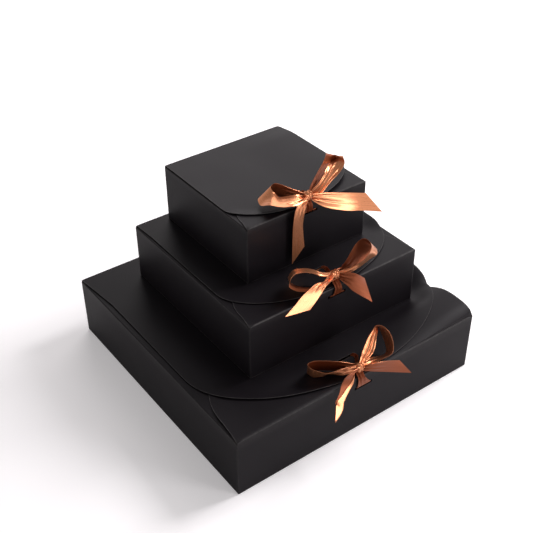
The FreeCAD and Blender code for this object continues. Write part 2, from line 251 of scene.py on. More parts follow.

# %% [markdown]
# ## Copper satin
# Satin is woven so that long floating threads lie on one face.  That face mirrors the room and
# swings from cream to deep copper as it turns; the back shows the binding threads and is dull.
# Its deep red-brown here is partly that dull back and partly painted shade: the back is turned to
# where the bow lies in shade, mostly inside loops and on the strap under the knot.  So the
# material has two finishes, and each ribbon mesh says which of its faces is which with a number,
# satin_face_and_shade: 1 on the shiny face and 0 on the back.  Each mesh also carries its own
# length and width as a UV map, in metres, so the threads run the right way round every fold.

# %% The satin thread group
satin_threads, start, end = new_group(
    "Satin threads", {"Thread scale": 4200.0, "Streak scale": 900.0}, ["Threads", "Streaks"])
cloth = add(satin_threads, "ShaderNodeUVMap", {}, uv_map="cloth").outputs["UV"]
# The squeeze along the ribbon draws each speck of noise out into a thread or a streak.
GRAINS = (("Thread scale", 0.06, "Threads"), ("Streak scale", 0.02, "Streaks"))
for scale, squeeze, result in GRAINS:
    drawn = add(satin_threads, "ShaderNodeMapping", {
        "Vector": cloth, "Scale": (1.0, squeeze, 1.0)}).outputs[0]
    specks = noise(satin_threads, drawn, start.outputs[scale], 2.0)
    set_inputs(satin_threads, end, {result: specks})
print(satin_threads.name, "has", len(satin_threads.nodes), "nodes")

# %% The satin material
SHINY_TONES = ((0.62, 0.235, 0.105), (0.76, 0.315, 0.155))
# The back's deep red-brown is partly the dull back of the weave and partly painted shade.
DULL_BACK_AND_SHADE_TONES = ((0.22, 0.052, 0.016), (0.28, 0.072, 0.024))
SHINY_GLOSS, BACK_GLOSS = (0.24, 0.34), (0.40, 0.52)


def copper_satin():
    material, tree, shader = principled("copper satin")
    weave = add(tree, "ShaderNodeGroup", {}, node_tree=satin_threads)
    threads, streaks = weave.outputs["Threads"], weave.outputs["Streaks"]
    # 1 on the shiny face and 0 on the back, whose darker tone is partly painted shade.
    face = add(tree, "ShaderNodeAttribute", {}, attribute_name="satin_face_and_shade").outputs["Fac"]
    tones = [two_tones(tree, streaks, (0.25, 0.75), pair) for pair in (DULL_BACK_AND_SHADE_TONES, SHINY_TONES)]
    glosses = [map_range(tree, threads, *ends) for ends in (BACK_GLOSS, SHINY_GLOSS)]
    bump = add(tree, "ShaderNodeBump", {
        "Strength": 0.2, "Distance": 0.00012, "Height": threads})
    set_inputs(tree, shader, {
        "Base Color": mix(tree, face, *tones, "RGBA"),
        "Roughness": mix(tree, face, *glosses),
        "Metallic": map_range(tree, face, 0.6, 0.8),
        "Specular IOR Level": 0.5,
        "Normal": bump.outputs[0]})
    return material


satin = copper_satin()
print(satin.name, "has", len(satin.node_tree.nodes), "nodes")

# %% [markdown]
# ## A panel of board
# A flap or lid is cut flat and then folded, so it is modelled that way.  Its outline is drawn in
# flat coordinates, x across and d away from the fold; a Delaunay triangulation fills it, with a
# slot left out; and a function bends each point into place.  The first stretch past the fold is
# rolled round the crease's radius, and a gentle rise can lift the rest, as board springs up
# where nothing holds it down.  The crease joins two moving bodies, but the panel is left in
# its closed place and is attached to neither.

# %% Drawing on the flat board
def rounded_end(centre, left, right, left_straight, right_straight, reach, fullness=2.0, steps=36):
    """Points round the curved end of a flap, from its right side to its left.

    Each half is a quarter of an ellipse; a fullness above 2 squares up the right-hand half.
    """
    quarter = [math.pi / 2 * i / steps for i in range(steps + 1)]

    def point(side, straight, turn, power):
        return (centre + (side - centre) * math.cos(turn) ** power,
                straight + (reach - straight) * math.sin(turn) ** power)

    return ([point(right, right_straight, turn, 2 / fullness) for turn in quarter[:-1]]
            + [point(left, left_straight, turn, 1) for turn in reversed(quarter)])


def inside(point, outline):
    """Whether a flat point is inside a closed outline."""
    x, y = point
    result = False
    for (x0, y0), (x1, y1) in zip(outline, outline[1:] + outline[:1]):
        if (y0 > y) != (y1 > y) and x < (x1 - x0) * (y - y0) / (y1 - y0) + x0:
            result = not result
    return result


def offset_in(outline, distance):
    """The outline drawn again a little way inside."""
    result = []
    count = len(outline)
    for i in range(count):
        before, here, after = (Vector(outline[(i + k) % count]) for k in (-1, 0, 1))
        normal = Vector((0.0, 0.0))
        for a, b in ((before, here), (here, after)):
            edge = b - a
            if edge.length > 1e-9:
                normal += Vector((-edge.y, edge.x)).normalized()
        normal.normalize()
        result.append(tuple(here + normal * distance))
    return result


def dense(outline, step):
    """The outline with points put in, so that no edge is longer than step."""
    result = []
    for (x0, y0), (x1, y1) in zip(outline, outline[1:] + outline[:1]):
        pieces = max(1, math.ceil(math.hypot(x1 - x0, y1 - y0) / step))
        result += [(x0 + (x1 - x0) * k / pieces, y0 + (y1 - y0) * k / pieces)
                   for k in range(pieces)]
    return result

# %% Triangulating a flat cut-out
EDGE_BAND = 0.6              # width of the narrow band of faces along a cut edge


def flat_mesh(outline, slot, rows, step):
    """Flat points and triangles inside an anticlockwise outline, round a slot if there is one."""
    outline = dense(outline, step)
    rings = [outline, offset_in(outline, EDGE_BAND)]
    if slot:
        slot = dense(slot, 2.0)
        rings += [slot, offset_in(slot, -EDGE_BAND)]
    points = [Vector(p) for ring in rings for p in ring]
    edges, base = [], 0
    for ring in rings:
        edges += [(base + i, base + (i + 1) % len(ring)) for i in range(len(ring))]
        base += len(ring)
    low_x, high_x = min(p[0] for p in outline), max(p[0] for p in outline)
    inner = offset_in(outline, EDGE_BAND + 0.2)
    hole = offset_in(slot, -EDGE_BAND - 0.4) if slot else None
    columns = math.ceil((high_x - low_x) / step)
    for row in rows:
        for i in range(1, columns):
            point = (low_x + (high_x - low_x) * i / columns, row)
            if inside(point, inner) and not (hole and inside(point, hole)):
                points.append(Vector(point))
    found = delaunay_2d_cdt(points, edges, [], 0, 1e-4)
    vertices = [tuple(v) for v in found[0]]
    triangles = []
    for face in found[2]:
        centre = (sum(vertices[i][0] for i in face) / 3, sum(vertices[i][1] for i in face) / 3)
        if inside(centre, outline) and not (slot and inside(centre, slot)):
            triangles.append(tuple(face))
    return vertices, triangles, [outline] + ([slot] if slot else [])

# %% An object from a mesh
def new_object(name, data):
    """An object in the scene for a mesh, a lamp or a camera."""
    made = bpy.data.objects.new(name, data)
    bpy.context.scene.collection.objects.link(made)
    return made


def finish_mesh(name, vertices, faces, wear_and_highlight, material, body, replaced,
                smooth_angle=40.0, fold=None):
    """An object from points in mm, with wear and painted highlight, finish, body and CAD nodes.

    A folded piece gets the wall's body and where its crease starts and ends; these are not used.
    Such a piece is left in place and attached to no body.
    """
    mesh = bpy.data.meshes.new(name)
    mesh.from_pydata([Vector(v) * MM for v in vertices], [], faces)
    mesh.validate()
    mesh.polygons.foreach_set("use_smooth", [True] * len(mesh.polygons))
    if wear_and_highlight:
        layer = mesh.attributes.new("edge_wear_and_highlight", "FLOAT", "POINT")
        layer.data.foreach_set("value", wear_and_highlight)
    mesh.set_sharp_from_angle(angle=math.radians(smooth_angle))
    mesh.materials.append(material)
    piece = new_object(name, mesh)
    if fold:
        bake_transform(piece)
    else:
        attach(piece, body)
    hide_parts(*replaced)
    return piece

# %% Giving the cut-out thickness
CREASE_ARC = FOLD_RADIUS * math.pi / 2         # how much of a panel goes round its crease


def near_edge(point, rings, reach):
    """1 on a cut edge, falling to 0 at reach from it."""
    best = reach
    for ring in rings:
        for (x0, y0), (x1, y1) in zip(ring, ring[1:] + ring[:1]):
            if min(x0, x1) - reach > point[0] or max(x0, x1) + reach < point[0]:
                continue
            dx, dy = x1 - x0, y1 - y0
            ahead, square = (point[0] - x0) * dx + (point[1] - y0) * dy, dx * dx + dy * dy
            share = max(0.0, min(1.0, ahead / square)) if square else 0.0
            best = min(best, math.hypot(point[0] - x0 - share * dx, point[1] - y0 - share * dy))
    return 1.0 - best / reach


def folded_panel(box, name, outline, slot, place, reach, crease_wear_and_highlight, step=6.0):
    """A cut-out made into the board panel that stands for the box's piece of that name.

    place(x, d) gives the middle of the board and its upward normal at a flat point.  The panel
    is left in its folded place and attached to no body.
    """
    arc = CREASE_ARC
    rows = [arc * k / 6 for k in range(1, 7)] + [arc + 0.7, arc + 2.0]
    while rows[-1] < reach:
        rows.append(rows[-1] + step)
    flat, triangles, rings = flat_mesh(outline, slot, rows, step)
    count = len(flat)
    upper, lower, wear_and_highlight = [], [], []
    for x, d in flat:
        middle, normal = place(x, d)
        upper.append(middle + normal * (BOARD / 2))
        lower.append(middle - normal * (BOARD / 2))
        # A crease gets a pale band that is partly wear and partly a painted highlight.
        crease = max(0.0, 1.0 - abs(d - arc / 2) / (arc * 0.75))
        wear_and_highlight.append(max(crease * crease_wear_and_highlight, near_edge((x, d), rings, EDGE_BAND)))
    faces = triangles + [tuple(i + count for i in reversed(t)) for t in triangles]
    used = dict.fromkeys(pair for t in triangles for pair in zip(t, t[1:] + t[:1]))
    faces += [(b, a, a + count, b + count) for a, b in used if (b, a) not in used]
    crease_start, crease_end = place(0.0, 0.0)[0], place(0.0, 0.999 * arc)[0]
    piece = finish_mesh("%s_%s_board" % (box.name, name), upper + lower, faces, wear_and_highlight + wear_and_highlight, board,
                        box.node(name), [box.node(name)],
                        fold=(box.node("tray"), crease_start, crease_end))
    return piece

# %% [markdown]
# ## The crease
# Folded board doesn't make a knife edge: its outside goes round a small radius.  A bevel would
# give a round edge too, but it cuts the corner short, and the slots would move.  Bending the flat
# cut-out keeps every length as it was cut.

# %% Bending round the crease
def crease_then_flat(middle, fold_y, inward, bottom, rise):
    """Bends a flat point: round the crease at the fold, then level, plus a gentle rise.

    The crease's outside is tangent to the wall's face and to the panel's top.  The flat x counts
    from the fold's middle, to the right as one looks inward from outside the fold.
    """
    radius = FOLD_RADIUS - BOARD / 2
    level = bottom + BOARD / 2

    def place(across_fold, d):
        x = middle + inward * across_fold
        if d < CREASE_ARC:
            turn = math.pi / 2 * d / CREASE_ARC
            across = Vector((0.0, inward * -math.cos(turn), math.sin(turn)))
            centre = Vector((x, fold_y + inward * FOLD_RADIUS, level - radius))
            return centre + across * radius, across
        y = fold_y + inward * (FOLD_RADIUS + d - CREASE_ARC)
        step = 0.5
        height = rise(x, y)
        slope_x = (rise(x + step, y) - rise(x - step, y)) / (2 * step)
        slope_y = (rise(x, y + step) - rise(x, y - step)) / (2 * step)
        return Vector((x, y, level + height)), Vector((-slope_x, -slope_y, 1.0)).normalized()

    return place


def smoothstep(low, high, value):
    """0 up to low and 1 from high on, with a soft change between."""
    share = max(0.0, min(1.0, (value - low) / (high - low)))
    return share * share * (3 - 2 * share)

# %% [markdown]
# ## The trays
# The four walls and the base are one creased sheet, so one mesh makes them: a ring of points
# round the walls, with arcs at the corners, is repeated at each height.  The first heights roll
# under to the base, which gives the bottom crease.  The front wall leaves out the faces where the
# ribbon's slot is.

# %% Points round the walls
# The pale band on the rounded corners is partly wear and partly a painted highlight.
CORNER_WEAR_AND_HIGHLIGHT, CORNER_END_WEAR_AND_HIGHLIGHT = 0.22, 0.08


def wall_ring(box):
    """Points round the outside: x, y, outward normal, the side it is on, and its wear and painted
    highlight.
    """
    r = FOLD_RADIUS
    middle_x, middle_y = (box.left + box.right) / 2, (box.front + box.back) / 2
    half_x, half_y = middle_x - box.left - r, middle_y - box.front - r
    near_x, near_y = half_x - EDGE_BAND, half_y - EDGE_BAND
    along_front = [-half_x, -near_x, -60.0, -30.0, -SLOT_LENGTH / 2, SLOT_LENGTH / 2, 30.0, 60.0,
                   near_x, half_x]
    along_side = [-half_y, -near_y, -45.0, 0.0, 45.0, near_y, half_y]
    sides = [("front", 0.0, -1.0, along_front), ("right", 1.0, 0.0, along_side),
             ("back", 0.0, 1.0, along_front), ("left", -1.0, 0.0, along_side)]
    ring = []
    for number, (side, nx, ny, places) in enumerate(sides):
        for place in places:
            x = middle_x + nx * (half_x + r) - ny * place
            y = middle_y + ny * (half_y + r) + nx * place
            creased = CORNER_END_WEAR_AND_HIGHLIGHT if place in (places[0], places[-1]) else 0.0
            ring.append((x, y, nx, ny, side, creased))
        corner_x = middle_x + half_x * (1 if number in (0, 1) else -1)
        corner_y = middle_y + half_y * (-1 if number in (0, 3) else 1)
        for step in range(1, 5):
            angle = math.radians(-90 + 90 * number + 18 * step)
            cx, cy = math.cos(angle), math.sin(angle)
            ring.append((corner_x + r * cx, corner_y + r * cy, cx, cy, "corner", CORNER_WEAR_AND_HIGHLIGHT))
    return ring

# %% The tray meshes
TRAY_PIECES = ("base_panel", "front_wall", "back_wall", "left_wall", "right_wall")


def tray(box):
    """One box's walls and base as a single creased sheet."""
    ring, r = wall_ring(box), FOLD_RADIUS
    tops = {"front": box.flap_bottom + BOARD - r, "back": box.top - r,
            "left": box.dust_bottom + BOARD - r, "right": box.dust_bottom + BOARD - r}
    tops["corner"] = tops["left"]
    slot_high = box.top - box.wall_slot_drop
    slot_low = slot_high - SLOT_HEIGHT
    heights = [slot_low, slot_high]
    # Each layer: its inset from the wall's face, its height (None at the top), its wear and
    # painted highlight, and whether the corners' wear and highlight is seen.  They go up the
    # outside and down the inside.
    layers = [(r * (1 - math.sin(a)), box.floor + r * (1 - math.cos(a)), 0.5, True)
              for a in (math.pi / 2 * k / 5 for k in range(6))]
    layers += [(0.0, z, 0.0, True) for z in [box.floor + r + EDGE_BAND] + heights]
    layers += [(0.0, None, 0.2, True), (BOARD, None, 0.4, False)]
    layers += [(BOARD, z, 0.0, False) for z in heights[::-1] + [box.floor + BOARD]]
    vertices, wear_and_highlight = [], []
    for inset, z, worn_and_highlit, outside in layers:
        for x, y, nx, ny, side, creased in ring:
            height = tops[side] if z is None else z
            vertices.append((x - nx * inset, y - ny * inset, height))
            wear_and_highlight.append(max(worn_and_highlit, creased) if outside else worn_and_highlit)
    count = len(ring)
    slot_column = [i for i in range(count) if ring[i][4] == "front"][4]
    outer_slot, inner_slot = len(layers) - 7, len(layers) - 3

    def patch(layer, i):
        """The face between two heights, from point i round the ring to the next."""
        j = (i + 1) % count
        return [layer * count + i, layer * count + j,
                (layer + 1) * count + j, (layer + 1) * count + i]

    faces = [tuple(patch(layer, i)) for layer in range(len(layers) - 1) for i in range(count)
             if i != slot_column or layer not in (outer_slot, inner_slot)]
    faces.append(tuple(reversed(range(count))))
    faces.append(tuple((len(layers) - 1) * count + i for i in range(count)))
    out, deep = patch(outer_slot, slot_column), patch(inner_slot, slot_column)[::-1]
    for k in range(4):
        n = (k + 1) % 4
        faces.append((out[n], out[k], deep[k], deep[n]))
    piece = finish_mesh(box.name + "_tray_board", vertices, faces, wear_and_highlight, board, box.node("tray"),
                        [box.node(n) for n in TRAY_PIECES])
    return piece


for box in BOXES:
    made = tray(box)
    print(made.name, len(made.data.vertices), "points")

# %% [markdown]
# ## Rises in the board
# Folded board springs up a little where nothing weighs it down, most of all on the large box's
# right-hand side.  Sculpting or a cloth simulation could give such a shape.  A few smooth
# functions of place give it too, the same on each run, and each can be read and changed alone.

# %% Rises in the board
FLAP_SPRING, FLAP_ARCH = 1.3, 8.7      # behind the large box's front fold, and at its right end
LID_CURL = 15.5              # at the right-hand edge of the large lid
LID_EDGE_LIFT = {"large": 1.8, "medium": 0.8, "small": 0.9}


def no_rise(x, y):
    """No rise at all, for panels that lie flat."""
    return 0.0


def large_flap_rise(x, y):
    """The front flap springs up behind its fold, most at its right-hand end.

    Under the medium box it lies flat.
    """
    d = max(y - large.front, 0.0)
    beside = smoothstep(medium.right + 0.5, medium.right + 22.0, x)
    settle = smoothstep(36.0 + 2.0 * beside, 58.0 + 24.0 * beside, d)
    sprung = FLAP_SPRING * (1.0 - math.exp(-d / 5.0))
    arched = FLAP_ARCH * (1.0 - math.exp(-(d + 1.2) / 8.0)) * smoothstep(30.0, 150.0, x)
    return (sprung + arched) * (1.0 - settle)


def edge_lift(box, x, y, width=0.16):
    """A lid's curved front edge stands a little off the flap, away from the ribbon."""
    d, reach = box.back - y, box.back - box.front
    across = 2.0 * (x - box.middle) / (box.right - box.left)
    ahead = max(0.0, d - box.lid_straight) / (reach - box.lid_straight)
    rim = smoothstep(1.0 - width, 1.0, math.hypot(across, ahead))
    away = smoothstep(0.15, 0.45, ahead) * smoothstep(0.10, 0.35, abs(across))
    return LID_EDGE_LIFT[box.name] * rim * away


def large_lid_rise(x, y):
    """The lid follows the arched flap and curls up along its right-hand edge."""
    side = smoothstep(medium.right + 1.5, large.right - 1.0, x)
    curl = LID_CURL * (1.0 - math.exp(-max(0.0, y + 86.0) / 11.0)) * smoothstep(-88.0, -80.0, y)
    curl *= side * (1.0 - smoothstep(-40.0, 30.0, y))
    edge = edge_lift(large, x, y) * (1.0 - smoothstep(20.0, 80.0, x))
    return large_flap_rise(x, y) + curl + edge


def medium_lid_rise(x, y):
    """The lid lifts a little where its right-hand edge begins to curve."""
    side = smoothstep(medium.right - 22.0, medium.right, x)
    bump = smoothstep(-46.0, -24.0, y) * (1.0 - smoothstep(0.0, 60.0, y))
    return 5.0 * side * bump + edge_lift(medium, x, y)


def small_lid_rise(x, y):
    """Its free right-hand side lifts a little."""
    side = smoothstep(small.middle, small.right, x)
    side *= 1.0 - smoothstep(small.back - 30.0, small.back, y)
    return 3.0 * side + edge_lift(small, x, y, 0.2)

# %% [markdown]
# ## Lids and flaps
# The lid and the front flap are cut with straight sides and a half-elliptical end, and the dust
# flaps with slanted ends so that they clear each other.  Each is drawn as on the flat board, with
# its slot for the ribbon, so the same few helpers cut and fold all twelve.

# %% The cut of lids and flaps
def slot_outline(near):
    """A ribbon slot with rounded corners, as a closed outline that starts at d = near."""
    r = 1.0
    x, low, high = SLOT_LENGTH / 2 - r, near + r, near + SLOT_HEIGHT - r
    corners = [(x, low, -90), (x, high, 0), (-x, high, 90), (-x, low, 180)]
    return [(cx + r * math.cos(math.radians(a + t)), cy + r * math.sin(math.radians(a + t)))
            for cx, cy, a in corners for t in (0, 30, 60, 90)]


# The developed length of a panel is what lies flat plus what goes round the crease.
CREASE_EXTRA = CREASE_ARC - FOLD_RADIUS
FLAP_SHORT_OF_MIDDLE = 18.0


def lid(box, insets, settled, straights, fullness, setback, rise):
    """A lid.  It is full width at the back fold and reaches its side insets by d = settled."""
    half = (box.right - box.left) / 2
    depth = box.back - box.front
    left, right = -half + insets[0], half - insets[1]
    reach = depth - setback + CREASE_EXTRA
    outline = [(-half + insets[2], 0.0), (half - insets[2], 0.0), (right, settled)]
    outline += rounded_end((left + right) / 2, left, right, straights[0] + CREASE_EXTRA,
                           straights[1] + CREASE_EXTRA, reach, fullness)
    outline.append((left, settled))
    near = depth - box.lid_slot_back - SLOT_HEIGHT + CREASE_EXTRA
    place = crease_then_flat(box.middle, box.back, -1.0, box.lid_bottom, rise)
    mirrored = [(-x, d) for x, d in outline][::-1]
    return folded_panel(box, "lid", mirrored, slot_outline(near), place, reach, crease_wear_and_highlight=0.3)


def front_flap(box, tapers, straight, rise, crease_wear_and_highlight):
    """A front flap.  It ends a little short of the middle of the box."""
    depth = box.back - box.front
    half = (box.right - box.left) / 2 - 0.4
    reach = depth / 2 - FLAP_SHORT_OF_MIDDLE + CREASE_EXTRA
    straight += CREASE_EXTRA
    left, right = -half + tapers[0], half - tapers[1]
    outline = [(-half, 0.0), (half, 0.0)]
    outline += rounded_end((tapers[0] - tapers[1]) / 2, left, right, straight, straight, reach)
    near = box.lid_slot_back + CREASE_EXTRA
    place = crease_then_flat(box.middle, box.front, 1.0, box.flap_bottom, rise)
    return folded_panel(box, "front_flap", outline, slot_outline(near), place, reach, crease_wear_and_highlight)


def dust_flap(box, side, width):
    """A side flap, drawn along the wall and then turned into place."""
    depth = box.back - box.front
    half = depth / 2 - 1.5
    outline = [(-half, 0.0), (half, 0.0), (half - width, width), (-half + width, width)]
    fold_x, inward = (box.left, 1.0) if side == "left" else (box.right, -1.0)
    middle_y = (box.front + box.back) / 2
    place = crease_then_flat(0.0, 0.0, 1.0, box.dust_bottom, no_rise)
    turn = Matrix(((0.0, inward, 0.0), (-inward, 0.0, 0.0), (0.0, 0.0, 1.0)))

    def turned(along, d):
        middle, normal = place(along, d)
        return turn @ middle + Vector((fold_x, middle_y, 0.0)), turn @ normal

    return folded_panel(box, side + "_dust_flap", outline, None, turned, width, crease_wear_and_highlight=0.12,
                        step=12.0)

# %% Cutting and folding lids and flaps
# Side insets (left, right, at the fold), where they are reached, straight sides (left, right),
# how full the right-hand curve is, and how far short of the front the lid stops.
LID_CUTS = {
    "large": ((6.5, 1.0, 0.6), 60.0, (202.0, 215.0), 2.2, 1.5),
    "medium": ((3.0, 2.0, 1.5), 30.0, (149.0, 149.0), 2.0, 1.5),
    "small": ((1.0, 0.6, 0.6), 20.0, (105.0, 105.0), 2.0, 1.5),
}
# How much a front flap narrows on the left and right, and how long its straight sides are.
FLAP_CUTS = {
    "large": ((3.0, 0.2), 27.0),
    "medium": ((3.0, 3.0), 17.0),
    "small": ((3.0, 3.0), 12.0),
}
# The pale band on each front flap's crease is partly wear and partly a painted highlight.
FLAP_CREASE_WEAR_AND_HIGHLIGHT = {"large": 0.5, "medium": 0.8, "small": 0.8}
DUST_WIDTHS = {"large": 84.0, "medium": 58.0, "small": 40.0}
LID_RISES = {"large": large_lid_rise, "medium": medium_lid_rise, "small": small_lid_rise}
FLAP_RISES = {"large": large_flap_rise, "medium": no_rise, "small": no_rise}
for box in BOXES:
    size = box.name
    made = [lid(box, *LID_CUTS[size], LID_RISES[size]),
            front_flap(box, *FLAP_CUTS[size], FLAP_RISES[size], FLAP_CREASE_WEAR_AND_HIGHLIGHT[size])]
    made += [dust_flap(box, side, DUST_WIDTHS[size]) for side in ("left", "right")]
    print(size, "lid, front flap and dust flaps:",
          [len(piece.data.vertices) for piece in made], "points")

# %% [markdown]
# ## Corner tabs
# Glued tabs hold the walls together inside.  They are flat and hidden, so they keep their packed
# shape and only take the board's finish.

# %% The finish of the corner tabs
for box in BOXES:
    for end in ("front", "back"):
        for side in ("left", "right"):
            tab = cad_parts[box.node("%s_%s_tab" % (end, side))]
            for material_slot in tab.material_slots:
                material_slot.material = board
    print(box.name, "corner tabs have the finish of the", board.name)

# %% [markdown]
# ## Satin ribbons
# A ribbon can't stretch, so a bow is best drawn as stations along it: where its middle is, which
# way its width points, and how much of the width is spread there.  A smooth curve through the
# stations gives the run, and rows of points across it give the cloth.  Where the knot gathers
# the ribbon, the width that is lost goes into pleats.

# %% The stations of the three bows
KNOT_LENGTH = 9.0
INSIDE_KNOT = 1.5            # how far a loop or a tail goes into the knot
GATHERED = 0.44              # share of the ribbon's width that is left at the knot
# shiny says where the shiny face is: outside or inside a loop, or on the front or back of a
# tail; the darker back is put where the bow lies in shade, as painted shade.  folded gives, at
# the start and at each station, the share of the width that is folded over onto the front.
Run = namedtuple("Run", "side start stations end shiny folded", defaults=("outside", None))

LARGE_BOW = {
    "left_loop": Run("left", (2.6, 0.0, (0, 0, -1)), [
        (-19.0, 13.0, 10.5, (2, 2, -10), 0.9),
        (-30.0, 22.0, 10.8, (2, 2, -9), 1.0),
        (-39.5, 28.5, 10.8, (2, 2, -9), 1.0),
        (-46.5, 30.0, 10.5, (2, 3, -9), 1.0),
        (-47.0, 22.5, 10.5, (3, 2, -9), 1.0),
        (-41.5, 17.0, 10.0, (5, 3, -9), 1.0),
        (-34.0, 12.5, 9.5, (6, 5, -8), 0.95),
        (-22.0, 7.0, 9.0, (3, 2, -9), 0.8),
    ], (0.2, 0.0, (0, 0, -1))),
    "right_loop": Run("right", (0.5, 2.4, (6, 1, -6)), [
        (8.5, 8.0, 14.5, (11, -2, -6), 0.7),
        (14.5, 10.5, 19.0, (11, -3, -7), 0.74),
        (20.5, 14.0, 24.5, (9, -2, -7), 0.62),
        (26.5, 17.0, 28.5, (9, 1, -9), 0.6),
        (32.0, 20.0, 30.0, (8, 6, -10), 1.0),
        (35.0, 16.5, 28.0, (3, 5, -8), 1.0),
        (36.5, 10.5, 22.0, (1, 5, -8), 1.0),
        (35.0, 4.0, 15.0, (1, 6, -8), 1.0),
        (31.0, 0.5, 9.5, (2, 7, -6), 1.0),
        (23.0, 2.5, 7.0, (4, 7, -5), 0.95),
        (12.0, 5.0, 6.5, (3, 8, -2), 0.8),
    ], (0.5, -1.5, (0, 9, 0)), "inside"),
    "left_tail": Run("left", (-2.6, 0.8, (0, 2, -5)), [
        (-20.5, -3.0, 12.0, (12, 2, -4), 0.7),
        (-23.5, -3.0, 3.5, (10, -2, -3), 0.72),
        (-31.0, -6.5, -2.5, (11, -1, -2), 0.64),
        (-38.5, -10.0, -6.5, (9, -2, -4), 0.56),
        (-42.0, -12.5, -10.5, (3, -6, -8), 0.65),
        (-47.5, -14.5, -13.0, (-9, -10, -13), 1.08),
    ], None, "back", (-0.1, 0.0, 0.2, 0.35, 0.45, 0.45, 0.45)),
    "right_tail": Run("right", (-4.1, 0.0, (0, 1, -9)), [
        (5.0, -5.5, 9.5, (2, 2, -9), 0.8),
        (19.5, -9.0, 5.5, (2, 1, -9), 1.0),
        (43.5, -12.0, -5.5, (6, -2, -9), 1.4),
    ], None, "back"),
}
MEDIUM_BOW = {
    "left_loop": Run("left", (0.5, 2.0, (0, 9, -1)), [
        (-12.0, 9.0, 13.5, (8, 10, -4), 0.7),
        (-17.0, 13.0, 16.0, (9, 12, -6), 0.9),
        (-23.5, 17.0, 18.5, (9, 13, -7), 1.0),
        (-30.5, 19.5, 20.0, (9, 13, -7), 1.0),
        (-37.5, 20.0, 21.0, (9, 14, -7), 1.0),
        (-43.0, 18.5, 20.0, (8, 14, -8), 1.0),
        (-46.5, 16.5, 17.5, (8, 13, -8), 1.0),
        (-47.0, 14.0, 14.0, (11, 12, -7), 1.0),
        (-43.5, 11.0, 10.5, (11, 12, -7), 1.0),
        (-38.0, 7.0, 8.5, (11, 12, -7), 1.0),
        (-30.0, 3.5, 7.0, (10, 12, -7), 1.0),
        (-21.0, 2.5, 6.5, (7, 11, -6), 0.85),
        (-13.0, 2.5, 8.0, (5, 8, -3), 0.6),
    ], (-0.3, -1.8, (0, 9, -1))),
    "right_loop": Run("right", (2.2, -0.5, (0, -2, -7)), [
        (13.5, 7.0, 9.5, (6, -2, -7), 0.55),
        (21.0, 6.0, 12.5, (7, -2, -7), 0.85),
        (30.5, 7.5, 17.5, (6, -3, -7), 1.0),
        (40.5, 10.0, 22.5, (6, -4, -6), 1.0),
        (46.5, 9.0, 26.0, (6, -2, -7), 1.0),
        (46.0, 2.0, 27.0, (6, 0, -8), 1.0),
        (41.5, -4.5, 25.5, (6, 2, -8), 1.0),
        (32.5, -5.5, 21.0, (7, 4, -6), 1.0),
        (23.0, -3.5, 16.0, (6, 4, -7), 0.85),
        (13.0, -1.0, 13.0, (4, 2, -8), 0.55),
    ], (-1.5, 0.5, (0, 2, -8))),
    "left_tail": Run("left", (-1.0, 3.9, (0, -9, 1)), [
        (-16.0, -4.0, 15.0, (9, -1, -3), 0.5),
        (-28.0, -8.5, 18.5, (10, -3, -5), 0.68),
        (-40.0, -10.5, 14.0, (20, -4, -4), 1.1),
        (-50.5, -13.0, 9.0, (21, -4, -4), 1.2),
        (-60.5, -15.0, 4.5, (28, -3, -3), 1.5),
    ], None, "front"),
    "right_tail": Run("right", (-4.0, -0.5, (0, 0, -1)), [
        (9.5, -7.0, 7.5, (-3, 0, -9), 0.8),
        (14.5, -10.5, 3.0, (-3, -1, -9), 1.0),
        (28.5, -14.0, -10.0, (0, -5, -8), 1.4),
    ], None, "back"),
}
